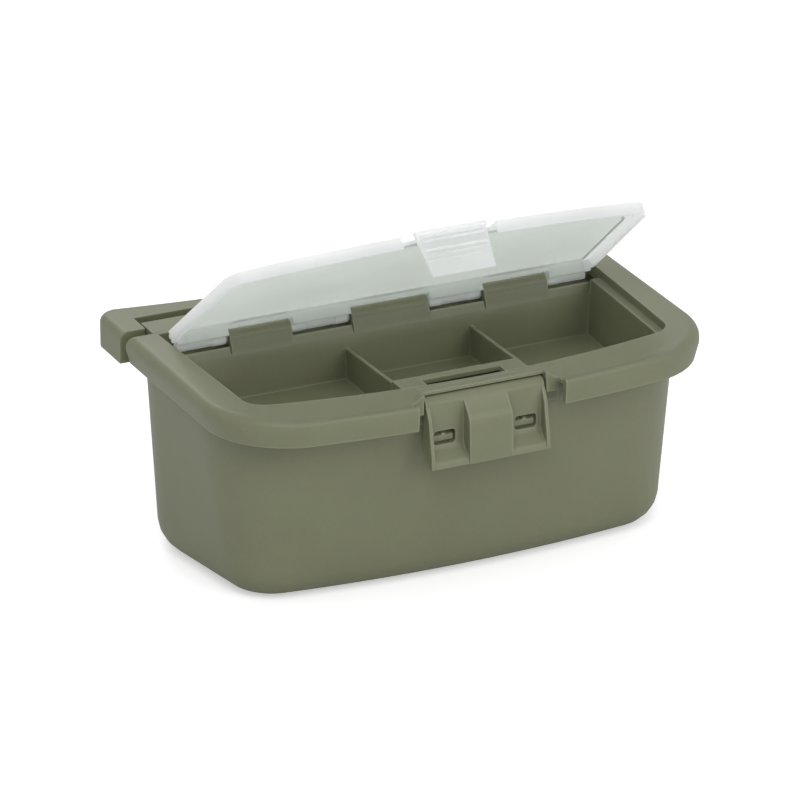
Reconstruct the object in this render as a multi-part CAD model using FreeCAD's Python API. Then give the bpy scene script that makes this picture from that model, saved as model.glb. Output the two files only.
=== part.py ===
import FreeCAD, Part
import math
import os

V = FreeCAD.Vector

# Heights above the table, millimetres
LID_TOP = 88.0
RIM_BOTTOM = 76.0
RIM_FULL = 82.0
SHOULDER_Z = 75.0
TUB_LIP_TOP = 81.6
LEDGE_Z = 84.0
TRAY_BOTTOM = 60.0
HINGE_SHELF_TOP = 76.5
HINGE_SHELF_BOTTOM = 74.3

# Wall thicknesses
TUB_WALL = 2.0
LID_WALL = 2.2
TRAY_WALL = 1.7
DIVIDER_WALL = 1.5

# Tub
TUB_FOOT_FILLET = 12.0
FOOT_STEPS = 5
FLOOR_STEPS = 3
CATCH_HALF = 4.2
CATCH_RIB_HALF = 0.7
BACK_HOLLOW = 600.0

# Hinge arms and band behind the lid
ARM_OUT = 109.2
ARM_IN = 98.0
ARM_FRONT = 56.0
BAND_IN = 68.0
BAND_BACK_MID = 74.4
BAND_CORNER = 8.0
BAND_EDGE_R = 3.5
TONGUE_HALF = 97.4
TONGUE_BACK = 62.8
TONGUE_ROOM_FRONT = 49.5
LIP_END = 40.0
RIM_BACK = 52.5
RIM_EDGE_R = 4.5
TRAY_DRAFT = 1.4
LOOP_BOTTOM = 20.0

# Lid hinge
LID_AXIS_Y = 59.5
LID_AXIS_Z = 83.0
LID_PIN_R = 1.5
LID_BARREL_R = 4.0
RUNNING_GAP = 0.05
PIN_INNER = 94.2
PIN_OUTER = 107.2

# Clear cover and its hinge
COVER_AXIS_Y = 40.5
COVER_AXIS_Z = 84.0
COVER_OPEN = 39.0
COVER_UNDER = 88.2
COVER_TOP = 89.8
COVER_MID = (COVER_UNDER + COVER_TOP) / 2.0
COVER_SKIRT_BOTTOM = 84.8
COVER_WALL = 1.5
COVER_BACK = 35.9
TAB_R = 4.0
TABS = [(-69.4, -42.2), (-15.4, 19.1), (44.1, 73.1)]
LUG_GAP = 0.7
LUG_R = 2.2
LUG_BOSS = 6.0
COVER_LUG_END = 92.6
LUG_WEB_BACK = 41.6
LUG_SKIRT_BOTTOM = 83.6
TAB_SKIRT_BOTTOM = 86.5
STUB_R = 1.5
STUB_LENGTH = 2.6
LUG_POCKET_BACK = 47.6
LUG_POCKET_Z = 79.0
REAR_WALL_TOP = 82.0

# Compartments, and the shelf with its slot at their front
DIVIDERS = [-18.5, 37.4]
DIVIDER_FRONT_Z = 75.0
DIVIDER_BACK_Z = 72.8
CELL_BACK = 35.0
SHELF_LEFT = -28.0
SHELF_RIGHT = 26.5
SHELF_BACK = -27.5
SHELF_THICK = 2.0
SLOT_LEFT = -17.0
SLOT_RIGHT = 17.2
SLOT_FRONT = -44.6
SLOT_BACK = -31.8

# Catch tongue of the clear cover
NOTCH_LEFT = -21.3
NOTCH_RIGHT = 20.2
NOTCH_BACK = -37.0
TONGUE_TOP_HALF = 15.6
TONGUE_TIP_HALF = 13.7
TONGUE_MID = 1.9
TONGUE_TOP_Y = -40.6
TONGUE_TIP_Y = -42.6
TONGUE_THICK = 1.7
TONGUE_HIGH = 91.6
TONGUE_LOW = 72.0
KNUCKLE_R = 0.8
KNUCKLE_HALF = 15.0
RIDGES = [79.0, 81.4]

# Front latch
LATCH_HALF = 26.0
LATCH_AXIS_Y = -51.0
LATCH_AXIS_Z = 83.6
LATCH_BARREL_R = 2.4
LATCH_POCKET_R = 3.0
LATCH_PIN_R = 1.2
LATCH_PIN_LENGTH = 3.0
LATCH_RIB = 1.8
LATCH_BOTTOM = 57.4
LATCH_PLATE_Y = -54.3
LATCH_PLATE_T = 2.2
BAND_GAP_HALF = 32.0
WINDOW = (13.0, 22.5, 65.6, 71.4)
CENTRE_HALF = 9.5


def unit(x, y):
    length = math.hypot(x, y)
    return x / length, y / length


class Plan:
    """Outline seen from above: bowed front, tapering sides, straight or hollow back."""

    def __init__(self, side, taper, front, bow, front_r, back, back_r, hollow=0.0):
        self.side = side
        self.taper = taper
        self.front = front
        self.bow = bow
        self.front_r = front_r
        self.back = back
        self.back_r = back_r
        self.hollow = hollow

    def inset(self, d):
        """The same outline drawn in by d on every side."""
        slant = math.hypot(1.0, self.taper)
        hollow = self.hollow + d if self.hollow else 0.0
        return Plan(self.side - d * slant, self.taper, self.front + d, self.bow - d,
                    max(self.front_r - d, 0.8), self.back - d, max(self.back_r - d, 0.8), hollow)

    def between(self, other, share):
        """Outline part of the way to another one."""
        names = ("side", "taper", "front", "bow", "front_r", "back", "back_r", "hollow")
        mixed = [getattr(self, n) * (1.0 - share) + getattr(other, n) * share for n in names]
        return Plan(*mixed)

    def corner(self, centre_y, reach, radius, round_r):
        """Right-hand corner arc between the side and a circle about (0, centre_y)."""
        slant = math.hypot(1.0, self.taper)
        ax = self.side - round_r / slant
        ay = round_r * self.taper / slant - centre_y
        a = self.taper ** 2 + 1.0
        b = 2.0 * (ax * self.taper + ay)
        c = ax ** 2 + ay ** 2 - reach ** 2
        y = (-b - math.sqrt(b * b - 4.0 * a * c)) / (2.0 * a)
        mid = (ax + self.taper * y, ay + y + centre_y)
        ux, uy = unit(mid[0], mid[1] - centre_y)
        return mid, (ux * radius, centre_y + uy * radius)

    def wire(self, z):
        """Eight edges: back, corner, side, corner, front, corner, side, corner."""
        slant = math.hypot(1.0, self.taper)
        out = (round(1.0 / slant, 12), -self.taper / slant)
        centre_y = self.front + self.bow
        front_mid, front_end = self.corner(centre_y, self.bow - self.front_r, self.bow,
                                           self.front_r)
        if self.hollow:
            centre_y = self.back + self.hollow
            back_mid, back_end = self.corner(centre_y, self.hollow + self.back_r, self.hollow,
                                             self.back_r)
        else:
            y = self.back - self.back_r
            x = self.side + self.taper * (y + self.back_r * self.taper / slant)
            back_mid = (x - self.back_r / slant, y)
            back_end = (back_mid[0], self.back)
        side_back = (back_mid[0] + out[0] * self.back_r, back_mid[1] + out[1] * self.back_r)
        side_front = (front_mid[0] + out[0] * self.front_r, front_mid[1] + out[1] * self.front_r)

        def point(p, mirror=1.0):
            return V(mirror * p[0], p[1], z)

        def bulge(mid, start, end, radius):
            sx, sy = unit(start[0] - mid[0], start[1] - mid[1])
            ex, ey = unit(end[0] - mid[0], end[1] - mid[1])
            mx, my = unit(sx + ex, sy + ey)
            return mid[0] + mx * radius, mid[1] + my * radius

        back_bulge = bulge(back_mid, back_end, side_back, self.back_r)
        front_bulge = bulge(front_mid, side_front, front_end, self.front_r)
        if self.hollow:
            back_edge = Part.Arc(point(back_end, -1), V(0, self.back, z), point(back_end))
        else:
            back_edge = Part.LineSegment(point(back_end, -1), point(back_end))
        edges = [
            back_edge,
            Part.Arc(point(back_end), point(back_bulge), point(side_back)),
            Part.LineSegment(point(side_back), point(side_front)),
            Part.Arc(point(side_front), point(front_bulge), point(front_end)),
            Part.Arc(point(front_end), V(0, self.front, z), point(front_end, -1)),
            Part.Arc(point(front_end, -1), point(front_bulge, -1), point(side_front, -1)),
            Part.LineSegment(point(side_front, -1), point(side_back, -1)),
            Part.Arc(point(side_back, -1), point(back_bulge, -1), point(back_end, -1)),
        ]
        return Part.Wire([edge.toShape() for edge in edges])

    def prism(self, low, high):
        return Part.Face(self.wire(low)).extrude(V(0, 0, high - low))


TUB_FOOT = Plan(98.3, 0.172, -39.4, 575.0, 22.0, 53.6, 30.0, BACK_HOLLOW)
TUB_TOP = Plan(104.0, 0.0586, -51.0, 560.0, 41.5, 57.3, 31.0, BACK_HOLLOW)
TUB_LIP = Plan(101.4, 0.0586, -51.0, 560.0, 36.0, 57.3, 34.0, BACK_HOLLOW)
RIM_LOW = Plan(106.4, 0.01, -61.9, 550.0, 35.5, RIM_BACK, 1.5)
RIM = Plan(108.4, 0.004, -62.6, 550.0, 37.0, RIM_BACK, 1.5)
OPENING = Plan(94.1, 0.043, -46.0, 400.0, 10.0, LUG_POCKET_BACK, 1.0)
TRAY = Plan(92.2, 0.043, -44.3, 400.0, 8.0, CELL_BACK + TRAY_WALL, 4.0)
COVER = Plan(93.2, 0.043, -44.9, 400.0, 9.0, COVER_BACK, 1.0)


def box(x0, x1, y0, y1, z0, z1):
    return Part.makeBox(x1 - x0, y1 - y0, z1 - z0, V(x0, y0, z0))


def rod(x0, x1, y, z, r):
    """Round bar along X."""
    return Part.makeCylinder(r, x1 - x0, V(x0, y, z), V(1, 0, 0))


def across(profile, x0, x1):
    """Prism along X of a profile given as (y, z) points."""
    points = [V(x0, y, z) for y, z in profile]
    return Part.Face(Part.makePolygon(points + points[:1])).extrude(V(x1 - x0, 0, 0))


def loft(wires):
    """Solid with straight walls from each outline to the next."""
    return Part.makeLoft(wires, True, True)


def fuse(shapes):
    result = shapes[0].multiFuse(shapes[1:]) if len(shapes) > 1 else shapes[0]
    return result.removeSplitter()


def edges_at(shape, z, keep=lambda edge: True):
    """Edges that lie in the plane at height z."""
    found = []
    for edge in shape.Edges:
        box_z = edge.BoundBox
        if abs(box_z.ZMin - z) < 1e-3 and abs(box_z.ZMax - z) < 1e-3 and keep(edge):
            found.append(edge)
    return found


def turned(shape, axis_y, axis_z, degrees):
    """Turned about an X axis; positive lifts what lies in front of the axis."""
    copy = shape.copy()
    copy.rotate(V(0, axis_y, axis_z), V(-1, 0, 0), degrees)
    return copy


def both_sides(x_in, x_out):
    """The same span left and right of the middle, each from low to high X."""
    return [(-x_out, -x_in), (x_in, x_out)]


def rounded_shell(foot, top, foot_z, top_z, fillet, steps=FOOT_STEPS):
    """Tapering block between two outlines, with its bottom edge rounded."""
    sections = []
    for step in range(steps + 1):
        turn = math.radians(90.0 * step / steps)
        height = fillet * (1.0 - math.cos(turn))
        level = foot.between(top, height / (top_z - foot_z))
        sections.append(level.inset(fillet * (1.0 - math.sin(turn))).wire(foot_z + height))
    return loft(sections + [top.wire(top_z)])


def band_outline():
    """Arms and band behind the lid, seen from above, as one face."""
    radius = BACK_HOLLOW
    centre = BAND_BACK_MID + radius
    corner_x = ARM_OUT - BAND_CORNER
    corner_y = centre - math.sqrt((radius + BAND_CORNER) ** 2 - corner_x ** 2)
    ux, uy = unit(corner_x, corner_y - centre)
    touch = (ux * radius, centre + uy * radius)
    mx, my = unit(1.0 - ux, -uy)
    bulge = (corner_x + mx * BAND_CORNER, corner_y + my * BAND_CORNER)
    z = RIM_BOTTOM
    right = [
        Part.LineSegment(V(ARM_IN, BAND_IN, z), V(ARM_IN, ARM_FRONT, z)),
        Part.LineSegment(V(ARM_IN, ARM_FRONT, z), V(ARM_OUT, ARM_FRONT, z)),
        Part.LineSegment(V(ARM_OUT, ARM_FRONT, z), V(ARM_OUT, corner_y, z)),
        Part.Arc(V(ARM_OUT, corner_y, z), V(bulge[0], bulge[1], z), V(touch[0], touch[1], z)),
    ]
    back = Part.Arc(V(touch[0], touch[1], z), V(0, BAND_BACK_MID, z), V(-touch[0], touch[1], z))
    left = [
        Part.Arc(V(-touch[0], touch[1], z), V(-bulge[0], bulge[1], z), V(-ARM_OUT, corner_y, z)),
        Part.LineSegment(V(-ARM_OUT, corner_y, z), V(-ARM_OUT, ARM_FRONT, z)),
        Part.LineSegment(V(-ARM_OUT, ARM_FRONT, z), V(-ARM_IN, ARM_FRONT, z)),
        Part.LineSegment(V(-ARM_IN, ARM_FRONT, z), V(-ARM_IN, BAND_IN, z)),
    ]
    inner = Part.LineSegment(V(-ARM_IN, BAND_IN, z), V(ARM_IN, BAND_IN, z))
    curves = right + [back] + left + [inner]
    return Part.Face(Part.Wire([curve.toShape() for curve in curves]))


# Tub: hollow loft, hinge band with arms, shelf under the hinge, two catches
def tub_room():
    """Space inside the tub, from its floor to above its lip."""
    lower = rounded_shell(TUB_FOOT.inset(TUB_WALL), TUB_LIP.inset(TUB_WALL), TUB_WALL,
                          SHOULDER_Z, TUB_FOOT_FILLET - TUB_WALL, FLOOR_STEPS)
    upper = TUB_LIP.inset(TUB_WALL).prism(SHOULDER_Z - 0.5, TUB_LIP_TOP + 1.0)
    return fuse([lower, upper])


def hinge_band():
    """Arms and band standing behind the lid, their upper outer edge rounded."""
    top = LID_TOP - 0.3
    band = band_outline().extrude(V(0, 0, top - RIM_BOTTOM))
    outer_edges = []
    for edge in edges_at(band, top):
        bounds = edge.BoundBox
        on_arm = bounds.YMax > BAND_IN + 0.5 and abs(bounds.XMax) > ARM_OUT - BAND_CORNER - 1.0
        if on_arm or bounds.YMax > BAND_BACK_MID - 0.1:
            outer_edges.append(edge)
    return band.makeFillet(BAND_EDGE_R, outer_edges)


def hinge_shelf():
    """Floor of the hinge space, reaching from the tub's wall to the band."""
    height = HINGE_SHELF_TOP - HINGE_SHELF_BOTTOM
    outline = band_outline()
    outline.translate(V(0, 0, HINGE_SHELF_BOTTOM - RIM_BOTTOM))
    infill = box(-ARM_IN - 0.5, ARM_IN + 0.5, 40.0, BAND_IN + 0.5, HINGE_SHELF_BOTTOM,
                 HINGE_SHELF_TOP)
    for x0, x1 in both_sides(TONGUE_HALF - 2.4, ARM_OUT):
        infill = infill.cut(box(x0, x1, 30.0, ARM_FRONT, 0.0, LID_TOP))
    return fuse([outline.extrude(V(0, 0, height)), infill])


def latch_catches():
    """Two hooks with a small rib above, which show through the latch's windows."""
    hook = [(-46.0, 66.4), (-51.7, 66.4), (-51.7, 67.6), (-50.2, 70.6), (-46.0, 71.4)]
    rib = [(-46.0, 70.0), (-50.4, 70.0), (-46.0, 74.0)]
    catches = []
    for x0, x1 in both_sides(WINDOW[0], WINDOW[1]):
        centre = (x0 + x1) / 2.0
        catches.append(across(hook, centre - CATCH_HALF, centre + CATCH_HALF))
        catches.append(across(rib, centre - CATCH_RIB_HALF, centre + CATCH_RIB_HALF))
    return catches


def make_tub():
    outer = rounded_shell(TUB_FOOT, TUB_TOP, 0.0, SHOULDER_Z, TUB_FOOT_FILLET)
    lip = TUB_LIP.prism(SHOULDER_Z - 1.0, TUB_LIP_TOP)
    tub = fuse([outer, lip, hinge_band(), hinge_shelf()] + latch_catches())

    # Room for the lid's hinged tongue and barrels, and for the latch
    above = LID_TOP + 2.0
    rooms = [tub_room(),
             box(-ARM_IN, ARM_IN, TONGUE_ROOM_FRONT, BAND_IN, HINGE_SHELF_TOP, above),
             box(-ARM_OUT, ARM_OUT, LIP_END, TONGUE_ROOM_FRONT, HINGE_SHELF_TOP, above),
             box(-BAND_GAP_HALF - 2.0, BAND_GAP_HALF + 2.0, -60.0, -40.0, SHOULDER_Z - 1.0, above)]
    for x0, x1 in both_sides(TONGUE_HALF - 2.4, ARM_OUT + 1.0):
        rooms.append(box(x0, x1, TONGUE_ROOM_FRONT, ARM_FRONT, RIM_BOTTOM - 0.5, above))
    for x0, x1 in both_sides(PIN_INNER - 0.2, PIN_OUTER + 0.3):
        rooms.append(rod(x0, x1, LID_AXIS_Y, LID_AXIS_Z, LID_PIN_R))
    return tub.cut(fuse(rooms))


def make_belt_loop(span, tub):
    """Strap hanging from the band's shelf and running back into the wall below."""
    low = LOOP_BOTTOM
    profile = [(66.2, HINGE_SHELF_BOTTOM), (66.2, low + 8.0), (62.0, low + 3.2), (50.0, low + 3.2),
               (50.0, low), (63.5, low), (69.4, low + 6.5), (69.4, HINGE_SHELF_BOTTOM)]
    strap = across(profile, span[0], span[1])
    bends = []
    for edge in strap.Edges:
        bounds = edge.BoundBox
        if bounds.XLength > 30.0 and bounds.ZMax < HINGE_SHELF_BOTTOM - 5.0 and bounds.YMax > 55.0:
            bends.append(edge)
    strap = strap.makeFillet(2.0, bends)
    wall = rounded_shell(TUB_FOOT, TUB_TOP, 0.0, SHOULDER_Z, TUB_FOOT_FILLET)
    return strap.cut(wall).cut(tub)


def make_hinge_pin(span):
    return rod(span[0], span[1], LID_AXIS_Y, LID_AXIS_Z, LID_PIN_R)


# Lid: rim, hinged tongue behind it, ledge for the cover, three compartments
def lid_rim():
    skirt = loft([RIM_LOW.wire(RIM_BOTTOM), RIM.wire(RIM_FULL)])
    top = RIM.prism(RIM_FULL, LID_TOP)
    shoulder = edges_at(top, LID_TOP, lambda e: e.BoundBox.YMin < RIM_BACK - 2.0)
    top = top.makeFillet(RIM_EDGE_R, shoulder)
    tongue = box(-TONGUE_HALF, TONGUE_HALF, RIM_BACK - 3.0, TONGUE_BACK, 79.6, LID_TOP - 0.2)
    back_edge = edges_at(tongue, LID_TOP - 0.2, lambda e: e.BoundBox.YMin > TONGUE_BACK - 0.1)
    tongue = tongue.makeFillet(1.2, back_edge)
    under = RIM_LOW.inset(LID_WALL)
    under.back = RIM_BACK - 2.0
    cavity = under.prism(RIM_BOTTOM - 1.0, LID_TOP - 2.6)
    behind = box(-TONGUE_HALF + 2.0, TONGUE_HALF - 2.0, 40.0, TONGUE_BACK - 2.0, 70.0,
                 LID_TOP - 2.8)
    return fuse([skirt, top, tongue]).cut(fuse([cavity, behind]))


def tray_body():
    """Solid block of the recess and the compartments, before they are hollowed."""
    ledge = OPENING.inset(-1.4).prism(LEDGE_Z - 2.0, LID_TOP - 1.0)
    cells = loft([TRAY.inset(TRAY_DRAFT).wire(TRAY_BOTTOM - TRAY_WALL), TRAY.wire(LEDGE_Z - 1.0)])
    pocket = box(-95.0, 95.0, CELL_BACK, LUG_POCKET_BACK + 1.8, LUG_POCKET_Z - 1.8, LID_TOP - 1.0)
    return fuse([ledge, cells, pocket])


def tray_hollow():
    """Recess for the cover, the compartments and the pocket for the cover's lugs."""
    recess = OPENING.prism(LEDGE_Z, LID_TOP + 1.0)
    cells = loft([TRAY.inset(TRAY_DRAFT + TRAY_WALL).wire(TRAY_BOTTOM),
                  TRAY.inset(TRAY_WALL).wire(LEDGE_Z + 0.01)])
    pocket = OPENING.prism(LUG_POCKET_Z, LEDGE_Z + 0.5)
    pocket = pocket.common(box(-100.0, 100.0, CELL_BACK + TRAY_WALL, 60.0, 0.0, LID_TOP))
    wall_top = across([(34.0, 77.3), (36.5, REAR_WALL_TOP), (36.9, REAR_WALL_TOP),
                       (36.9, LEDGE_Z + 0.5), (34.0, LEDGE_Z + 0.5)], -100.0, 100.0)
    wall_top = wall_top.common(OPENING.prism(LUG_POCKET_Z - 5.0, LID_TOP))
    return fuse([recess, cells, pocket, wall_top])


def tray_dividers():
    """Two dividers, and the shelf with its walls that houses the cover's catch tongue."""
    base = TRAY_BOTTOM - 5.0
    half = DIVIDER_WALL / 2.0
    left, right = DIVIDERS
    pieces = []
    for x, front in ((left, SHELF_BACK), (right, -60.0)):
        profile = [(front, base), (CELL_BACK + 2.0, base), (CELL_BACK + 2.0, DIVIDER_BACK_Z),
                   (front, DIVIDER_FRONT_Z)]
        pieces.append(across(profile, x - half, x + half))
    housing = box(SHELF_LEFT, SHELF_RIGHT, -60.0, SHELF_BACK, base, LEDGE_Z)
    room = box(SHELF_LEFT + DIVIDER_WALL, SHELF_RIGHT - DIVIDER_WALL, -60.0,
               SHELF_BACK - DIVIDER_WALL, base - 1.0, LEDGE_Z - SHELF_THICK)
    pieces.append(housing.cut(room))
    return fuse(pieces)


def hinge_tabs():
    """Round-nosed tabs that carry the cover's stub pins."""
    front = [(34.66, 77.5), (34.85, 81.4), (36.6, 84.5), (COVER_AXIS_Y, 84.5), (COVER_AXIS_Y, 77.5)]
    tabs = []
    for x0, x1 in TABS:
        tabs.append(rod(x0, x1, COVER_AXIS_Y, COVER_AXIS_Z, TAB_R))
        tabs.append(box(x0, x1, COVER_AXIS_Y, LUG_POCKET_BACK + 0.5, LUG_POCKET_Z - 0.5,
                        COVER_AXIS_Z + TAB_R))
        tabs.append(across(front, x0, x1))
    return tabs


def latch_seat():
    """Room in the rim's front for the latch plate and its barrel."""
    half = LATCH_HALF + 0.6
    return fuse([
        box(-BAND_GAP_HALF, BAND_GAP_HALF, -70.0, -54.5, 60.0, 100.0),
        box(-half, half, -70.0, -51.8, 60.0, 100.0),
        rod(-half, half, LATCH_AXIS_Y, LATCH_AXIS_Z, LATCH_POCKET_R),
        box(-half, half, -60.0, -48.4, 60.0, LATCH_AXIS_Z),
    ])


def lid_bores():
    """Holes for the cover's stub pins, the latch's pins and the lid's hinge pins."""
    depth = STUB_LENGTH + 0.3
    bores = []
    for x0, x1 in TABS:
        for x in (x0, x1 - depth):
            bores.append(rod(x, x + depth, COVER_AXIS_Y, COVER_AXIS_Z, STUB_R + RUNNING_GAP))
    for x0, x1 in both_sides(LATCH_HALF, LATCH_HALF + LATCH_PIN_LENGTH + 0.4):
        bores.append(rod(x0, x1, LATCH_AXIS_Y, LATCH_AXIS_Z, LATCH_PIN_R + RUNNING_GAP))
    for x0, x1 in both_sides(PIN_INNER - 2.2, TONGUE_HALF + 0.1):
        bores.append(rod(x0, x1, LID_AXIS_Y, LID_AXIS_Z, LID_PIN_R + RUNNING_GAP))
    return fuse(bores)


def make_lid():
    parts = [lid_rim(), tray_body()]
    for x0, x1 in both_sides(86.0, TONGUE_HALF):
        parts.append(rod(x0, x1, LID_AXIS_Y, LID_AXIS_Z, LID_BARREL_R))
    for x0, x1 in both_sides(LATCH_HALF + 0.8, BAND_GAP_HALF + 1.5):
        parts.append(box(x0, x1, -54.5, -45.0, 79.5, LID_TOP - 1.0))
    parts.append(box(-BAND_GAP_HALF, BAND_GAP_HALF, -48.4, -46.6, SHOULDER_Z, LID_TOP - 1.0))
    lid = fuse(parts).cut(tray_hollow())

    # Dividers and shelf, kept to the inside of the compartments
    inside = loft([TRAY.inset(TRAY_DRAFT).wire(TRAY_BOTTOM - TRAY_WALL), TRAY.wire(LEDGE_Z)])
    lid = fuse([lid, tray_dividers().common(inside)])
    under_shelf = box(SHELF_LEFT + DIVIDER_WALL, SHELF_RIGHT - DIVIDER_WALL, -46.6,
                      SHELF_BACK - DIVIDER_WALL, TRAY_BOTTOM, LEDGE_Z - SHELF_THICK)
    slot = box(SLOT_LEFT, SLOT_RIGHT, SLOT_FRONT, SLOT_BACK, TRAY_BOTTOM + 10.0, LID_TOP + 1.0)
    lid = lid.cut(fuse([under_shelf, slot]))
    lid = fuse([lid] + hinge_tabs())
    return lid.cut(fuse([latch_seat(), lid_bores()]))


# Front latch: hinged flap with two windows, a raised middle and a finger lip
def make_front_latch():
    low = LATCH_BOTTOM
    out = LATCH_PLATE_Y
    inner = LATCH_PLATE_Y + LATCH_PLATE_T
    plate = [(-52.9, 85.2), (out, 83.0), (out, 64.6), (-59.6, 60.0), (-60.2, low), (-58.0, low),
             (-57.6, 59.2), (inner, 63.8), (inner, 82.0), (-51.0, 82.0), (-51.0, 85.2)]
    middle = [(-52.9, 85.2), (-60.0, 76.0), (-60.6, low), (-58.4, low), (-57.8, 75.2),
              (-54.0, 80.0), (-52.0, 80.5), (-51.0, 85.2)]
    fin = [(-52.9, 85.2), (-57.0, 78.0), (-60.0, 62.0), (-60.2, low), (-58.0, low),
           (-52.6, 64.0), (-52.1, 80.0), (-51.0, 85.0)]
    cheek = [(out + 1.0, 80.0), (-60.2, 76.0), (-60.4, low), (-58.2, low), (out + 1.0, 64.0)]
    pin_half = LATCH_HALF + LATCH_PIN_LENGTH
    parts = [
        across(plate, -LATCH_HALF, LATCH_HALF),
        across(middle, -CENTRE_HALF, CENTRE_HALF),
        rod(-LATCH_HALF, LATCH_HALF, LATCH_AXIS_Y, LATCH_AXIS_Z, LATCH_BARREL_R),
        rod(-pin_half, pin_half, LATCH_AXIS_Y, LATCH_AXIS_Z, LATCH_PIN_R),
    ]
    for x0, x1 in both_sides(LATCH_HALF - LATCH_RIB, LATCH_HALF):
        parts.append(across(fin, x0, x1))
    for x0, x1 in both_sides(CENTRE_HALF - LATCH_RIB, CENTRE_HALF):
        parts.append(across(cheek, x0, x1))
    latch = fuse(parts)
    for x0, x1 in both_sides(WINDOW[0], WINDOW[1]):
        latch = latch.cut(box(x0, x1, -58.0, -50.0, WINDOW[2], WINDOW[3]))
    return latch


def cover_lugs():
    """Spans of the cover's four hinge lugs, and which of their ends meet a tab."""
    stops = [-COVER_LUG_END] + [x for tab in TABS for x in tab] + [COVER_LUG_END]
    lugs = []
    for index in range(0, len(stops), 2):
        after_tab = index > 0
        before_tab = index + 1 < len(stops) - 1
        x0 = stops[index] + (LUG_GAP if after_tab else 0.0)
        x1 = stops[index + 1] - (LUG_GAP if before_tab else 0.0)
        lugs.append((x0, x1, after_tab, before_tab))
    return lugs


def lug_boss(x0, x1):
    """Round end of a lug, hanging from the panel's rear edge."""
    return [rod(x0, x1, COVER_AXIS_Y, COVER_AXIS_Z, LUG_R),
            box(x0, x1, COVER_AXIS_Y - LUG_R, LUG_WEB_BACK, COVER_AXIS_Z, COVER_TOP)]


# Clear cover: panel with a skirt, notched at the front, four lugs with stub pins behind
def make_cover():
    panel = COVER.prism(COVER_UNDER, COVER_TOP)
    skirt = COVER.prism(COVER_SKIRT_BOTTOM, COVER_UNDER + 0.01)
    skirt = skirt.cut(COVER.inset(COVER_WALL).prism(COVER_SKIRT_BOTTOM - 1, COVER_UNDER + 1))
    inner_back = COVER_BACK - COVER_WALL
    for x0, x1 in TABS:
        skirt = skirt.cut(box(x0 - LUG_GAP, x1 + LUG_GAP, inner_back - 0.1, 60.0, 0.0,
                              TAB_SKIRT_BOTTOM))
    parts = [panel, skirt]
    for x0, x1, after_tab, before_tab in cover_lugs():
        parts.append(box(x0, x1, inner_back, COVER_BACK, LUG_SKIRT_BOTTOM, COVER_UNDER + 0.01))
        parts.append(box(x0, x1, inner_back, LUG_WEB_BACK, COVER_UNDER, COVER_TOP))
        if after_tab:
            parts += lug_boss(x0, x0 + LUG_BOSS)
        if before_tab:
            parts += lug_boss(x1 - LUG_BOSS, x1)
    for x0, x1 in TABS:
        for start in (x0 - LUG_GAP - 1.0, x1 - STUB_LENGTH):
            parts.append(rod(start, start + STUB_LENGTH + LUG_GAP + 1.0, COVER_AXIS_Y,
                             COVER_AXIS_Z, STUB_R))
    notch = box(NOTCH_LEFT, NOTCH_RIGHT, -60.0, NOTCH_BACK, 0.0, 100.0)
    groove = rod(NOTCH_LEFT, NOTCH_RIGHT, NOTCH_BACK, COVER_MID, KNUCKLE_R + 0.1)
    cover = fuse(parts).cut(fuse([notch, groove]))
    return turned(cover, COVER_AXIS_Y, COVER_AXIS_Z, COVER_OPEN)


def make_cover_latch():
    """Springy tongue in the cover's notch: finger tab above, snap ridges below."""
    lean = (TONGUE_TOP_Y - TONGUE_TIP_Y) / (TONGUE_HIGH - TONGUE_LOW)

    def face_y(z):
        return TONGUE_TIP_Y + lean * (z - TONGUE_LOW)

    side_view = [(face_y(TONGUE_HIGH), TONGUE_HIGH), (face_y(TONGUE_LOW), TONGUE_LOW),
                 (face_y(TONGUE_LOW) + TONGUE_THICK, TONGUE_LOW),
                 (face_y(TONGUE_HIGH) + TONGUE_THICK, TONGUE_HIGH)]
    blade = across(side_view, TONGUE_MID - TONGUE_TOP_HALF, TONGUE_MID + TONGUE_TOP_HALF)
    front_view = [V(TONGUE_MID - TONGUE_TOP_HALF, -60.0, TONGUE_HIGH + 0.1),
                  V(TONGUE_MID + TONGUE_TOP_HALF, -60.0, TONGUE_HIGH + 0.1),
                  V(TONGUE_MID + TONGUE_TIP_HALF, -60.0, TONGUE_LOW - 0.1),
                  V(TONGUE_MID - TONGUE_TIP_HALF, -60.0, TONGUE_LOW - 0.1)]
    taper = Part.Face(Part.makePolygon(front_view + front_view[:1])).extrude(V(0, 30.0, 0))
    blade = blade.common(taper)
    strip = box(TONGUE_MID - KNUCKLE_HALF, TONGUE_MID + KNUCKLE_HALF, face_y(COVER_MID) + 0.8,
                NOTCH_BACK, COVER_UNDER + 0.1, COVER_TOP - 0.1)
    knuckle = rod(TONGUE_MID - KNUCKLE_HALF, TONGUE_MID + KNUCKLE_HALF, NOTCH_BACK, COVER_MID,
                  KNUCKLE_R)
    ridges = []
    for z in RIDGES:
        y = face_y(z)
        ridges.append(across([(y + 0.3, z - 0.9), (y - 0.6, z), (y + 0.3, z + 0.9)],
                             TONGUE_MID - TONGUE_TIP_HALF, TONGUE_MID + TONGUE_TIP_HALF))
    y = face_y(TONGUE_HIGH)
    lip = across([(y - 1.2, TONGUE_HIGH), (y - 1.2, TONGUE_HIGH - 1.2), (y + 0.4, TONGUE_HIGH - 2.4),
                  (y + 0.4, TONGUE_HIGH)], TONGUE_MID - TONGUE_TOP_HALF, TONGUE_MID + TONGUE_TOP_HALF)
    latch = fuse([blade, strip, knuckle, lip] + ridges)
    return turned(latch, COVER_AXIS_Y, COVER_AXIS_Z, COVER_OPEN)


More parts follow.
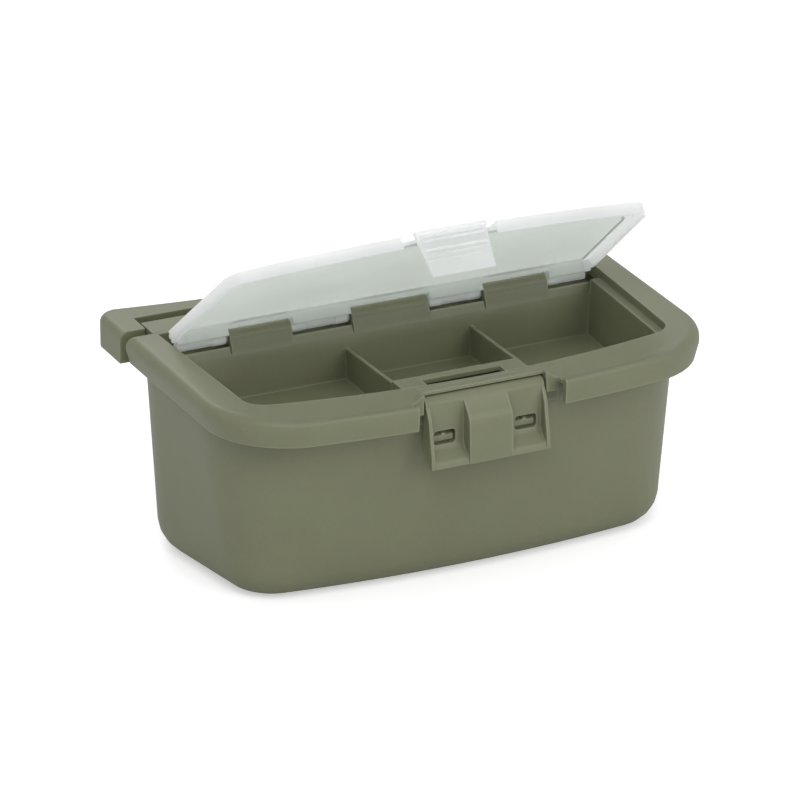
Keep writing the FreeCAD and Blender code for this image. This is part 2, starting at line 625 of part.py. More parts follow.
def main():
    tub = make_tub()
    loops = both_sides(24.0, 58.0)
    pins = both_sides(PIN_INNER, PIN_OUTER)
    nodes = {
        "tub": tub,
        "belt_loop_left": make_belt_loop(loops[0], tub),
        "belt_loop_right": make_belt_loop(loops[1], tub),
        "lid_hinge_pin_left": make_hinge_pin(pins[0]),
        "lid_hinge_pin_right": make_hinge_pin(pins[1]),
        "lid_tray": make_lid(),
        "front_latch": make_front_latch(),
        "clear_cover": make_cover(),
        "cover_latch": make_cover_latch(),
    }
    os.makedirs("parts", exist_ok=True)
    for name, shape in nodes.items():
        solids = shape.Solids
        if len(solids) == 1:
            shape = solids[0]
        print(name, len(solids), shape.isValid(), round(shape.Volume, 1))
        shape.exportStep("parts/" + name + ".step")


main()
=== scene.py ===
import math
from collections import namedtuple

import bmesh
import bpy
import numpy as np
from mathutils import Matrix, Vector


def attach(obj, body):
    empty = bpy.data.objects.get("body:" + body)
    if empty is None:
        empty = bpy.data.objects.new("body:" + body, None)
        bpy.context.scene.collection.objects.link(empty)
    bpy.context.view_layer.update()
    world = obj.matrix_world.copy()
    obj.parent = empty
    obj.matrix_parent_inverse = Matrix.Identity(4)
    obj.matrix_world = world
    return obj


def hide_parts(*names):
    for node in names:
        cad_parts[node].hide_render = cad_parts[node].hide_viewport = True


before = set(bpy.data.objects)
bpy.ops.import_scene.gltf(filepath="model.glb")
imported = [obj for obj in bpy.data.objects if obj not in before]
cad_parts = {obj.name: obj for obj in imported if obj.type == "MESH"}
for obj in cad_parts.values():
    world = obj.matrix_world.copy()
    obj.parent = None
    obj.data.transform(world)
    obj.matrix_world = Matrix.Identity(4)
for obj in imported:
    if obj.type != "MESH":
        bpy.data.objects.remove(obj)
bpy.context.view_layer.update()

# Sizes and places are in millimetres, and MM turns them into the scene's metres
MM = 0.001

# Camera: where the photograph was taken from
CAMERA_TARGET = Vector((8.85, 42.37, 42.0)) * MM
CAMERA_AZIMUTH = math.radians(-25.46)
CAMERA_ELEVATION = math.radians(23.2)
CAMERA_DISTANCE = 2.459
CAMERA_LENS = 270.0
SENSOR_WIDTH = 36.0

# An outline seen from above: half width at Y = 0, its growth along Y, the front edge's Y,
# the radius of the bowed front and the radius of the front corners
Plan = namedtuple("Plan", "side taper front bow corner_r")

# Lid's rim and its opening
RIM_PLAN = Plan(108.4, 0.004, -62.6, 550.0, 37.0)
RIM_REAR = 52.5
OPENING_PLAN = Plan(94.1, 0.043, -46.0, 400.0, 10.0)
OPENING_REAR = 47.6
OPENING_MARGIN = 0.15
LID_TOP = 88.0
GAP_HALF = 32.0

# Lip and valley along the rim's front: the lip's top and where its face starts, the valley's
# floor and how far in it lies, and the shell's thickness
LIP_TOP = 86.3
LIP_FACE_TOP = 85.2
LIP_ROUND = 1.1
VALLEY_Z = 84.9
VALLEY_IN = 5.0
RIM_WALL = 1.6

# Where the lip is full and where it has faded out: along X, along Y, and beside the latch
LIP_FADE_X = (58.0, 100.0)
LIP_FADE_Y = (-28.0, -8.0)
GAP_FADE_X = (GAP_HALF - 5.5, GAP_HALF - 0.5)

# Grid that the rim's front is cut into before it is shaped, finer beside the latch
GRID_STEP = 2.5
GRID_X = 109.0
GRID_Y = (-62.0, 0.0)
FINE_STEP = GRID_STEP / 3.0
FINE_X = (GAP_HALF - 6.0, GAP_HALF + 2.0)

# Faces of the rim that are shaped: above this height, in front of this line, and turned at
# least this much up or down
RIM_SHELL_LOW = 83.3
RIM_FRONT_END = 12.0
FACING = 0.02

# Webs inside the lid's shell, as Y and Z ranges: across the latch's gap, above that one at
# both its ends, and behind the outer hinge lugs
GAP_WEB = (-51.0, -49.8, 74.06, 80.6)
GAP_WEB_HALF = GAP_HALF + 1.8
SIDE_WEB = (-50.9, -49.9, 80.4, 85.0)
LUG_WEB = (45.6, 46.6, 76.8, 81.6)
LUG_WEB_X = (86.0, 101.0)

# Clear cover: its hinge line, how far it stands open, its outline and its underside
COVER_AXIS = (40.5, 84.0)
COVER_OPEN = math.radians(39.0)
COVER_SIDE = 93.2
COVER_TAPER = 0.043
COVER_FRONT = -44.9
COVER_BOW = 400.0
COVER_UNDER = 88.2

# Border round the cover's thinner panel, with a bead along its inner edge; the border is a real raised
# step, and the panel's greyer colour is painted shade
COVER_BORDER = 9.0
SIDE_BORDER = 5.4
BORDER_STEP = 0.7
BORDER_FADE = (COVER_BORDER - 0.9, COVER_BORDER + 0.5)
PANEL_BLEND = 14.0
PANEL_ROUND = 12.0
PANEL_BEAD_R = 0.55

# Thicker lines along the cover's rear, kept out of the panel's painted shade: Y and half width
REAR_LINES = [(32.0, 1.3), (40.8, 2.6)]

# The lid's tabs between the cover's hinge lugs, the bars between the lugs, and the ribs at the tabs
TABS = [(-69.4, -42.2), (-15.4, 19.1), (44.1, 73.1)]
LUG_END = 92.6
LUG_BAR_R = 2.0
LUG_BAR_INSET = 1.0
TAB_RIB_Y = (31.2, 32.0)
TAB_RIB_TOP = COVER_UNDER + 0.2
TAB_RIB_LOW = TAB_RIB_TOP - 0.5
TAB_RIB_INSET = 1.5

# Catch tongue of the cover: its front face, seen from the side with the cover shut
TONGUE_MID = 1.9
TONGUE_HALF = 13.5
TONGUE_TIP = (-42.6, 72.0)
TONGUE_TOP = (-40.6, 91.6)
TONGUE_BEADS = (89.3, 87.4, 83.4)
TONGUE_BEAD_R = 0.7

# Front latch: its hinge, its plate's front and back, and its lower edge
LATCH_HALF = 26.0
LATCH_CENTRE_HALF = 9.5
LATCH_AXIS = (-51.0, 83.6)
LATCH_BARREL_R = 2.3
LATCH_PIN_R = 1.2
LATCH_PIN_LENGTH = 3.0
LATCH_FIN = 1.5
LATCH_LOW = 57.4
PLATE_Y = -54.3
PLATE_BACK_Y = -52.1
SIDE_WEB_X = (LATCH_HALF + 0.6, GAP_HALF + 1.0)

# Joined strips end this far apart, so that their end faces don't lie in one plane
SEAM = 0.05

# The latch's windows, the cutter's reach through its plate, and the tub's hooks behind them
WINDOW_X = (13.0, 22.5)
WINDOW_Z = (65.6, 71.4)
WINDOW_ROUND = 1.4
WINDOW_CUT_Y = (-62.0, -50.5)
HOOK_HALF = 4.1
HOOK_RIB_HALF = 0.8

# Rounded front edge of the platform above the latch
PLATFORM_BEAD = (-48.5, 87.4)
PLATFORM_BEAD_R = 0.6
PLATFORM_BEAD_HALF = LATCH_HALF + 0.3

# Meshes: points closer than these are one point, and edges sharper than this stay sharp
WELD = 2e-6
TINY = 1e-6
SHARP_ANGLE = math.radians(32.0)

# Materials: rounded edges of the plastics and the width of the painted highlight that makes their edges
# paler
EDGE_ROUND = 0.6
CLEAR_EDGE_ROUND = 0.7
EDGE_HIGHLIGHT_WIDTH = 1.6
EDGE_SAMPLES = 6
PLASTIC_IOR = 1.49

# Studio, in metres
FLOOR_HALF = 3.0
FLOOR_Z = -0.0002
FLOOR_GLOW = 0.45
LAMP_AIM = Vector((0.0, 0.0, 0.05))


# Outlines
def half_outline(plan, rear, count=60):
    """Right half of an outline seen from above, from its side's rear to the middle of its front."""
    side, taper, front, bow, corner_r = plan
    slant = math.hypot(1.0, taper)
    centre_y = front + bow
    reach = bow - corner_r

    # Centre of the corner's arc: touching the side's line and the bowed front
    ax = side - corner_r / slant
    ay = corner_r * taper / slant - centre_y
    a = taper ** 2 + 1.0
    b = 2.0 * (ax * taper + ay)
    c = ax ** 2 + ay ** 2 - reach ** 2
    y = (-b - math.sqrt(b * b - 4.0 * a * c)) / (2.0 * a)
    corner_x = ax + taper * y
    corner_y = ay + y + centre_y

    start = math.atan2(-taper, 1.0)
    end = math.atan2(corner_y - centre_y, corner_x)
    points = []
    touch_y = corner_y + corner_r * math.sin(start)
    for y in np.linspace(rear, touch_y, count, endpoint=False):
        points.append((side + taper * y, y))
    for turn in np.linspace(start, end, count, endpoint=False):
        points.append((corner_x + corner_r * math.cos(turn), corner_y + corner_r * math.sin(turn)))
    for turn in np.linspace(end, -math.pi / 2.0, 2 * count):
        points.append((bow * math.cos(turn), centre_y + bow * math.sin(turn)))
    return np.array(points)


def gap_to(outline, xy):
    """Distance of each point from an outline's right half, the points taken with positive X."""
    probe = np.column_stack([np.abs(xy[:, 0]), xy[:, 1]])
    start = outline[:-1]
    step = outline[1:] - start
    length = (step ** 2).sum(1)
    best = np.full(len(probe), np.inf)
    for first, move, square in zip(start, step, length):
        share = np.clip(((probe - first) @ move) / square, 0.0, 1.0)
        near = first + share[:, None] * move
        best = np.minimum(best, np.hypot(*(probe - near).T))
    return best


def smooth(low, high, value):
    """0 below low, 1 above high, and a soft S between them."""
    t = np.clip((value - low) / (high - low), 0.0, 1.0)
    return t * t * (3.0 - 2.0 * t)


def round_corners(points, radii, steps=6):
    """Polygon with each corner replaced by an arc of its own radius."""
    result = []
    count = len(points)
    for index, (point, radius) in enumerate(zip(points, radii)):
        here = Vector(point)
        if radius == 0.0:
            result.append(here)
            continue
        before = (Vector(points[index - 1]) - here).normalized()
        after = (Vector(points[(index + 1) % count]) - here).normalized()
        half_angle = before.angle(after) / 2.0
        reach = radius / math.tan(half_angle)
        centre = here + (before + after).normalized() * (radius / math.sin(half_angle))
        first = here + before * reach - centre
        last = here + after * reach - centre
        for step in range(steps + 1):
            share = step / steps
            result.append(centre + (first * (1.0 - share) + last * share).normalized() * radius)
    return result


def circle(y, z, radius, count=24):
    """Side view (y, z) of a round bar."""
    turns = np.linspace(0.0, 2.0 * math.pi, count, endpoint=False)
    return [(y + radius * math.cos(t), z + radius * math.sin(t)) for t in turns]


def rectangle(y0, y1, z0, z1):
    """Side view (y, z) of a square-cut bar or web."""
    return [(y0, z0), (y1, z0), (y1, z1), (y0, z1)]


def both_sides(inner, outer):
    """The same span of X left and right of the middle."""
    return (-outer, -inner), (inner, outer)


# Building with meshes
def node_bmesh(name):
    """Copy of a node's mesh, with its split points joined."""
    mesh = bmesh.new()
    mesh.from_mesh(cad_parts[name].data)
    bmesh.ops.remove_doubles(mesh, verts=mesh.verts, dist=WELD)
    bmesh.ops.dissolve_degenerate(mesh, edges=mesh.edges, dist=TINY)
    return mesh


def linked_object(name, data):
    """New object in the scene."""
    made = bpy.data.objects.new(name, data)
    bpy.context.scene.collection.objects.link(made)
    return made


def finished_piece(mesh, name, node, body, material):
    """Object made from a bmesh: smooth curves, sharp edges kept, riding on its body."""
    data = bpy.data.meshes.new(name)
    mesh.to_mesh(data)
    mesh.free()
    for attribute in ("custom_normal", "sharp_face", "sharp_edge"):
        found = data.attributes.get(attribute)
        if found is not None:
            data.attributes.remove(found)
    data.shade_smooth()
    data.set_sharp_from_angle(angle=SHARP_ANGLE)
    data.materials.clear()
    data.materials.append(material)
    piece = linked_object(name, data)
    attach(piece, body)
    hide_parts(node)
    return piece


def bridge(mesh, first, second):
    """Faces between two rings of points."""
    faces = []
    count = len(first)
    for index in range(count):
        after = (index + 1) % count
        faces.append(mesh.faces.new([first[index], second[index], second[after], first[after]]))
    return faces


def add_prism(mesh, near, far):
    """Closed solid between two rings of places in millimetres; returns its points."""
    rings = [[mesh.verts.new(Vector(place) * MM) for place in ring] for ring in (near, far)]
    faces = [mesh.faces.new(rings[0]), mesh.faces.new(list(reversed(rings[1])))]
    faces += bridge(mesh, *rings)
    bmesh.ops.recalc_face_normals(mesh, faces=faces)
    return rings[0] + rings[1]


def add_strip(mesh, side_view, x0, x1):
    """Side view (y, z) drawn out along X; returns its points."""
    near = [(x0, y, z) for y, z in side_view]
    far = [(x1, y, z) for y, z in side_view]
    return add_prism(mesh, near, far)


def strip_mesh(side_view, x0, x1):
    """Side view (y, z) drawn out along X, as a mesh of its own."""
    mesh = bmesh.new()
    add_strip(mesh, side_view, x0, x1)
    return mesh


def add_bead(mesh, path, z, radius, count=10):
    """Round bead along a closed path (x, y) at one height; returns its points."""
    total = len(path)
    rings = []
    for index, here in enumerate(path):
        along = (Vector(path[(index + 1) % total]) - Vector(path[index - 1])).normalized()
        sideways = Vector((along.y, -along.x, 0.0))
        ring = []
        for turn in np.linspace(0.0, 2.0 * math.pi, count, endpoint=False):
            place = Vector((*here, z)) + sideways * radius * math.cos(turn)
            place.z += radius * math.sin(turn)
            ring.append(mesh.verts.new(place * MM))
        rings.append(ring)
    faces = []
    for index in range(total):
        faces += bridge(mesh, rings[index], rings[(index + 1) % total])
    bmesh.ops.recalc_face_normals(mesh, faces=faces)
    return [vert for ring in rings for vert in ring]


def combined(meshes, operation):
    """First mesh joined with the others, or cut by them."""
    holders = []
    for mesh in meshes:
        data = bpy.data.meshes.new("working")
        mesh.to_mesh(data)
        mesh.free()
        holders.append(linked_object("working", data))
    for other in holders[1:]:
        step = holders[0].modifiers.new("combine", "BOOLEAN")
        step.operation = operation
        step.solver = "EXACT"
        step.object = other
    bpy.context.view_layer.update()
    graph = bpy.context.evaluated_depsgraph_get()
    result = bmesh.new()
    result.from_object(holders[0], graph)
    for holder in holders:
        data = holder.data
        bpy.data.objects.remove(holder)
        bpy.data.meshes.remove(data)
    bmesh.ops.remove_doubles(result, verts=result.verts, dist=WELD)
    return result


# Lid tray
def front_height(outer, inner):
    """Height of the rim's front by the distances to its edges: a slope, a valley and a crisp lip."""
    slope = smooth(0.0, 1.0, inner / np.maximum(inner + outer - VALLEY_IN, TINY))
    valley = LID_TOP - (LID_TOP - VALLEY_Z) * slope
    lip = LIP_TOP - (LIP_TOP - VALLEY_Z) * smooth(LIP_ROUND, VALLEY_IN, outer)
    corner = np.clip(1.0 - outer / LIP_ROUND, 0.0, 1.0)
    lip = lip - (LIP_TOP - LIP_FACE_TOP) * (1.0 - np.sqrt(1.0 - corner ** 2))
    return np.where(outer > VALLEY_IN, valley, lip)


def front_share(xy):
    """1 where the front's lip is full, 0 at the latch and round the corners."""
    across = np.abs(xy[:, 0])
    share = 1.0 - smooth(*LIP_FADE_X, across)
    share = share * smooth(*GAP_FADE_X, across)
    return share * (1.0 - smooth(*LIP_FADE_Y, xy[:, 1]))


def rim_faces(mesh, side):
    """Faces of the rim's top (side 1) or of the underside of its shell (side -1)."""
    return [face for face in mesh.faces
            if face.normal.z * side > FACING
            and min(vert.co.z for vert in face.verts) > RIM_SHELL_LOW * MM
            and max(vert.co.y for vert in face.verts) < RIM_FRONT_END * MM]


def cut_in_grid(mesh, side):
    """Cut one side of the rim into small faces that can follow the lip and the valley."""
    fine = np.arange(*FINE_X, FINE_STEP)
    columns = np.concatenate([np.arange(-GRID_X, GRID_X, GRID_STEP), fine, -fine])
    rows = np.arange(*GRID_Y, GRID_STEP)
    for normal, places in ((Vector((1.0, 0.0, 0.0)), columns), (Vector((0.0, 1.0, 0.0)), rows)):
        for place in places:
            faces = rim_faces(mesh, side)
            edges = {edge for face in faces for edge in face.edges}
            verts = {vert for face in faces for vert in face.verts}
            bmesh.ops.bisect_plane(mesh, geom=list(verts) + list(edges) + faces,
                                   plane_co=normal * float(place) * MM, plane_no=normal, dist=TINY)


def in_opening(x, y):
    """Whether a place lies inside the lid's opening, seen from above."""
    plan = OPENING_PLAN
    if abs(x) > plan.side + plan.taper * y:
        return False
    return y > 0.0 or math.hypot(x, y - plan.front - plan.bow) < plan.bow


def shape_rim(mesh, side, drop):
    """Bring one side of the rim's front to the height of the lip and the valley, less drop."""
    cut_in_grid(mesh, side)
    verts = list({vert for face in rim_faces(mesh, side) for vert in face.verts})
    places = np.array([vert.co for vert in verts]) / MM
    inner = gap_to(half_outline(OPENING_PLAN, OPENING_REAR), places[:, :2])
    outer = gap_to(half_outline(RIM_PLAN, RIM_REAR), places[:, :2])
    heights = front_height(outer, inner) - drop
    shares = front_share(places[:, :2])
    for vert, (x, y, z), gap, height, share in zip(verts, places, inner, heights, shares):
        if in_opening(x, y) or gap <= OPENING_MARGIN:
            continue
        goal = min(z, height) if side == -1 else height
        vert.co.z = (z + (goal - z) * share) * MM


def make_lid(material):
    """Lid tray, with the lip along its rim and the webs that close its shell."""
    mesh = node_bmesh("lid_tray")
    mesh.normal_update()
    shape_rim(mesh, 1, 0.0)
    shape_rim(mesh, -1, RIM_WALL)
    for span in both_sides(*SIDE_WEB_X):
        add_strip(mesh, rectangle(*SIDE_WEB), *span)
    for span in both_sides(*LUG_WEB_X):
        add_strip(mesh, rectangle(*LUG_WEB), *span)
    add_strip(mesh, rectangle(*GAP_WEB), -GAP_WEB_HALF, GAP_WEB_HALF)
    edge = circle(*PLATFORM_BEAD, PLATFORM_BEAD_R)
    add_strip(mesh, edge, -PLATFORM_BEAD_HALF, PLATFORM_BEAD_HALF)
    return finished_piece(mesh, "lid_moulding", "lid_tray", "lid_body", material)


# Tub, belt loops and hinge pins
def make_tub(material):
    """Tub, with the latch's two hooks brought out to where they fill its windows."""
    mesh = node_bmesh("tub")
    hook = round_corners([(-46.0, 66.4), (-53.2, 66.4), (-53.2, 68.9), (-50.6, 69.9), (-46.0, 70.6)],
                         [0.0, 0.7, 0.7, 1.0, 0.0])
    rib = [(-46.0, 67.0), (-52.9, 67.0), (-52.9, 69.6), (-50.0, 71.2), (-46.0, 71.2)]
    for x0, x1 in both_sides(*WINDOW_X):
        middle = (x0 + x1) / 2.0
        add_strip(mesh, hook, middle - HOOK_HALF, middle + HOOK_HALF)
        add_strip(mesh, rib, middle - HOOK_RIB_HALF, middle + HOOK_RIB_HALF)
    return finished_piece(mesh, "tub_moulding", "tub", "tub_body", material)


def make_belt_loops(material):
    """The two straps on the tub's back."""
    for side in ("left", "right"):
        node = "belt_loop_" + side
        mesh = node_bmesh(node)
        finished_piece(mesh, node + "_strap", node, "tub_body", material)


def dress_pins(material):
    """Wire finish on the lid's two hinge pins."""
    for node in ("lid_hinge_pin_left", "lid_hinge_pin_right"):
        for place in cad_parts[node].material_slots:
            place.material = material


# Front latch
def window_cutter(x0, x1):
    """Solid with the shape of one of the latch's windows."""
    z0, z1 = WINDOW_Z
    corners = round_corners([(x0, z0), (x1, z0), (x1, z1), (x0, z1)], [WINDOW_ROUND] * 4)
    front_y, back_y = WINDOW_CUT_Y
    mesh = bmesh.new()
    add_prism(mesh, [(x, front_y, z) for x, z in corners], [(x, back_y, z) for x, z in corners])
    return mesh


def make_latch(material):
    """Snap latch: bowed middle pad, plate with two windows, fins at the ends."""
    low = LATCH_LOW
    plate = round_corners(
        [(-52.6, 85.4), (PLATE_Y, 83.4), (PLATE_Y, 64.6), (-59.6, 60.0), (-60.2, low), (-58.4, low),
         (-57.6, 59.2), (PLATE_BACK_Y, 63.8), (PLATE_BACK_Y, 82.0), (-51.0, 82.0), (-51.0, 85.4)],
        [1.4, 2.0, 4.0, 3.0, 0.5, 0.5, 2.0, 3.0, 0.0, 0.0, 0.5])
    pad = round_corners(
        [(-53.2, 84.2), (-60.0, 76.4), (-60.6, low), (-58.4, low), (-57.6, 74.8), (-53.6, 79.6),
         (-52.4, 83.0)],
        [1.0, 9.0, 0.7, 0.5, 5.0, 0.0, 0.0])
    fin = round_corners(
        [(-52.6, 85.2), (-57.0, 78.0), (-60.0, 62.0), (-60.2, low), (-58.0, low), (-52.4, 64.0),
         (-52.1, 80.0), (-51.4, 85.0)],
        [0.6, 14.0, 12.0, 0.7, 0.5, 4.0, 0.0, 0.4])
    inside_y = PLATE_Y + 0.6
    pad_low = low + 0.3
    pad_side = [(inside_y, 82.6), (-59.6, 76.0), (-60.2, pad_low), (-58.0, pad_low), (inside_y, 63.6)]

    barrel = circle(*LATCH_AXIS, LATCH_BARREL_R)
    pin = circle(*LATCH_AXIS, LATCH_PIN_R)
    pin_half = LATCH_HALF + LATCH_PIN_LENGTH
    parts = [strip_mesh(plate, -LATCH_HALF, LATCH_HALF),
             strip_mesh(pad, -LATCH_CENTRE_HALF, LATCH_CENTRE_HALF),
             strip_mesh(barrel, -LATCH_HALF + SEAM, LATCH_HALF - SEAM),
             strip_mesh(pin, -pin_half, pin_half)]
    fin_spans = both_sides(LATCH_HALF - LATCH_FIN, LATCH_HALF)
    pad_spans = both_sides(LATCH_CENTRE_HALF - LATCH_FIN, LATCH_CENTRE_HALF - SEAM)
    for fin_span, pad_span in zip(fin_spans, pad_spans):
        parts.append(strip_mesh(fin, *fin_span))
        parts.append(strip_mesh(pad_side, *pad_span))
    body = combined(parts, "UNION")
    cutters = [window_cutter(*span) for span in both_sides(*WINDOW_X)]
    latch = combined([body] + cutters, "DIFFERENCE")
    return finished_piece(latch, "latch_flap", "front_latch", "latch_body", material)


# Clear cover and its catch tongue
def open_with_cover(verts):
    """Turn new points from the shut cover's place to where it stands open."""
    axis_y, axis_z = COVER_AXIS
    cos = math.cos(COVER_OPEN)
    sin = math.sin(COVER_OPEN)
    for vert in verts:
        dy = vert.co.y - axis_y * MM
        dz = vert.co.z - axis_z * MM
        vert.co.y = axis_y * MM + dy * cos + dz * sin
        vert.co.z = axis_z * MM - dy * sin + dz * cos


def make_cover(material):
    """Clear cover: bars between its hinge lugs, a rib at each tab and a bead round its panel."""
    mesh = node_bmesh("clear_cover")
    stops = [-LUG_END] + [x for tab in TABS for x in tab] + [LUG_END]
    bar = circle(*COVER_AXIS, LUG_BAR_R)
    added = []
    for start, end in zip(stops[0::2], stops[1::2]):
        added += add_strip(mesh, bar, start + LUG_BAR_INSET, end - LUG_BAR_INSET)
    rib = rectangle(*TAB_RIB_Y, TAB_RIB_LOW, TAB_RIB_TOP)
    for start, end in TABS:
        added += add_strip(mesh, rib, start + TAB_RIB_INSET, end - TAB_RIB_INSET)
    plan = Plan(COVER_SIDE - SIDE_BORDER, COVER_TAPER, COVER_FRONT + COVER_BORDER, COVER_BOW,
                PANEL_ROUND)
    right = half_outline(plan, REAR_LINES[0][0], count=12)
    left = [(-x, y) for x, y in reversed(right[:-1])]
    added += add_bead(mesh, [tuple(point) for point in right] + left, COVER_UNDER, PANEL_BEAD_R)
    open_with_cover(added)
    return finished_piece(mesh, "cover_moulding", "clear_cover", "cover_body",
                          material)


def make_tongue(material):
    """Springy catch tongue, with beads across its face for the fingertip."""
    mesh = node_bmesh("cover_latch")
    lean = (TONGUE_TOP[0] - TONGUE_TIP[0]) / (TONGUE_TOP[1] - TONGUE_TIP[1])
    added = []
    for z in TONGUE_BEADS:
        bead = circle(TONGUE_TIP[0] + lean * (z - TONGUE_TIP[1]), z, TONGUE_BEAD_R, 12)
        added += add_strip(mesh, bead, TONGUE_MID - TONGUE_HALF, TONGUE_MID + TONGUE_HALF)
    open_with_cover(added)
    return finished_piece(mesh, "cover_tongue", "cover_latch", "tongue_body",
                          material)


# Material nodes
def put(tree, socket, term):
    """Give a socket a number, a colour, or another node's output."""
    if isinstance(term, bpy.types.NodeSocket):
        tree.links.new(term, socket)
    elif isinstance(term, tuple):
        socket.default_value = (*term, 1.0)
    else:
        socket.default_value = term


def new_material(name):
    """Material with its node tree and its shader."""
    material = bpy.data.materials.new(name)
    material.use_nodes = True
    tree = material.node_tree
    return material, tree, tree.nodes["Principled BSDF"]


def place_on_object(tree):
    """Places on the surface, in the object's own metres."""
    return tree.nodes.new("ShaderNodeTexCoord").outputs["Object"]


def noise(tree, place, scale, detail, roughness):
    """Soft noise from 0 to 1."""
    made = tree.nodes.new("ShaderNodeTexNoise")
    put(tree, made.inputs["Vector"], place)
    put(tree, made.inputs["Scale"], scale)
    put(tree, made.inputs["Detail"], detail)
    put(tree, made.inputs["Roughness"], roughness)
    return made.outputs["Fac"]


def sum_node(tree, operation, *terms):
    """Maths node; each of its terms is a number or another node's output."""
    made = tree.nodes.new("ShaderNodeMath")
    made.operation = operation
    for socket, term in zip(made.inputs, terms):
        put(tree, socket, term)
    return made.outputs["Value"]


def spread(tree, value, low, high, start=0.0, end=1.0, curve="LINEAR"):
    """From low to high while value goes from start to end."""
    made = tree.nodes.new("ShaderNodeMapRange")
    made.interpolation_type = curve
    put(tree, made.inputs["Value"], value)
    put(tree, made.inputs["From Min"], start)
    put(tree, made.inputs["From Max"], end)
    put(tree, made.inputs["To Min"], low)
    put(tree, made.inputs["To Max"], high)
    return made.outputs["Result"]


def colour_mix(tree, first, second, share, blend="MIX"):
    """First colour mixed with the second one by share."""
    made = tree.nodes.new("ShaderNodeMix")
    made.data_type = "RGBA"
    made.blend_type = blend
    put(tree, made.inputs["Factor"], share)
    put(tree, made.inputs["A"], first)
    put(tree, made.inputs["B"], second)
    return made.outputs["Result"]


def colour_ramp(tree, value, first, second, start=0.0, end=1.0):
    """From the first colour to the second while value goes from start to end."""
    made = tree.nodes.new("ShaderNodeValToRGB")
    for stop, place, colour in zip(made.color_ramp.elements, (start, end), (first, second)):
        stop.position = place
        stop.color = (*colour, 1.0)
    put(tree, made.inputs["Fac"], value)
    return made.outputs["Color"]


def rounded_normal(tree, radius):
    """Surface direction with its sharp edges rounded by a radius in millimetres."""
    made = tree.nodes.new("ShaderNodeBevel")
    made.samples = EDGE_SAMPLES
    put(tree, made.inputs["Radius"], radius * MM)
    return made.outputs["Normal"]


def bumped_normal(tree, normal, height, strength, depth):
    """Surface direction with relief of a depth in millimetres."""
    made = tree.nodes.new("ShaderNodeBump")
    put(tree, made.inputs["Strength"], strength)
    put(tree, made.inputs["Distance"], depth * MM)
    put(tree, made.inputs["Height"], height)
    put(tree, made.inputs["Normal"], normal)
    return made.outputs["Normal"]


def edge_highlight_mask(tree):
    """Mask of the painted edge highlight: above 0 beside edges, where the rounded direction differs from
    the flat one.
    """
    turn = tree.nodes.new("ShaderNodeVectorMath")
    turn.operation = "DOT_PRODUCT"
    flat = tree.nodes.new("ShaderNodeNewGeometry").outputs["Normal"]
    put(tree, turn.inputs[0], rounded_normal(tree, EDGE_HIGHLIGHT_WIDTH))
    put(tree, turn.inputs[1], flat)
    return spread(tree, turn.outputs["Value"], 0.0, 0.55, start=0.995, end=0.86)


# Materials
def moulded_plastic(name, base, pale, dark, grain, rough):
    """Satin moulded plastic: fine grain, faint flow marks and a painted highlight that makes its edges
    slightly paler.
    """
    material, tree, shader = new_material(name)
    place = place_on_object(tree)
    flow = noise(tree, place, 26.0, 5.0, 0.62)
    speck = noise(tree, place, 620.0, 3.0, 0.6)
    fine = noise(tree, place, grain, 2.0, 0.55)
    tones = colour_ramp(tree, flow, dark, base, start=0.30, end=0.70)
    tones = colour_mix(tree, tones, speck, 0.10, "MULTIPLY")
    # Painted highlight: the colour turns towards the pale one beside edges
    tones = colour_mix(tree, tones, pale, edge_highlight_mask(tree))
    normal = bumped_normal(tree, rounded_normal(tree, EDGE_ROUND), fine, 0.22, 0.12)
    put(tree, shader.inputs["Base Color"], tones)
    put(tree, shader.inputs["Roughness"], spread(tree, flow, rough - 0.05, rough + 0.07))
    put(tree, shader.inputs["Normal"], normal)
    put(tree, shader.inputs["IOR"], PLASTIC_IOR)
    put(tree, shader.inputs["Specular IOR Level"], 0.42)
    return material


def cover_border_and_panel_shade(tree):
    """1 along the cover's border and skirt, 0 in its thinner middle panel; it raises the border's real
    step and paints the panel's shade.
    """
    axis_y, axis_z = COVER_AXIS
    cos = math.cos(COVER_OPEN)
    sin = math.sin(COVER_OPEN)
    shut = tree.nodes.new("ShaderNodeMapping")
    shut.inputs["Rotation"].default_value = (COVER_OPEN, 0.0, 0.0)
    shut.inputs["Location"].default_value = (0.0, (axis_y - axis_y * cos + axis_z * sin) * MM,
                                             (axis_z - axis_y * sin - axis_z * cos) * MM)
    put(tree, shut.inputs["Vector"], place_on_object(tree))
    split = tree.nodes.new("ShaderNodeSeparateXYZ")
    put(tree, split.inputs["Vector"], shut.outputs["Vector"])
    x = split.outputs["X"]
    y = split.outputs["Y"]

    # Distance in from the slanted sides, and from the bowed front
    side_x = (COVER_SIDE + COVER_BORDER - SIDE_BORDER) * MM
    side_line = sum_node(tree, "MULTIPLY_ADD", y, COVER_TAPER, side_x)
    side = sum_node(tree, "SUBTRACT", side_line, sum_node(tree, "ABSOLUTE", x))
    along = sum_node(tree, "SUBTRACT", y, (COVER_FRONT + COVER_BOW) * MM)
    x_square = sum_node(tree, "MULTIPLY", x, x)
    square = sum_node(tree, "MULTIPLY_ADD", along, along, x_square)
    front = sum_node(tree, "SUBTRACT", COVER_BOW * MM, sum_node(tree, "SQRT", square))
    edge = sum_node(tree, "SMOOTH_MIN", side, front, PANEL_BLEND * MM)

    for line, half_width in REAR_LINES:
        away = sum_node(tree, "ABSOLUTE", sum_node(tree, "SUBTRACT", y, line * MM))
        inside = sum_node(tree, "ADD", away, (COVER_BORDER - half_width) * MM)
        edge = sum_node(tree, "MINIMUM", edge, inside)
    start, end = BORDER_FADE
    return spread(tree, edge, 1.0, 0.0, start * MM, end * MM, "SMOOTHSTEP")


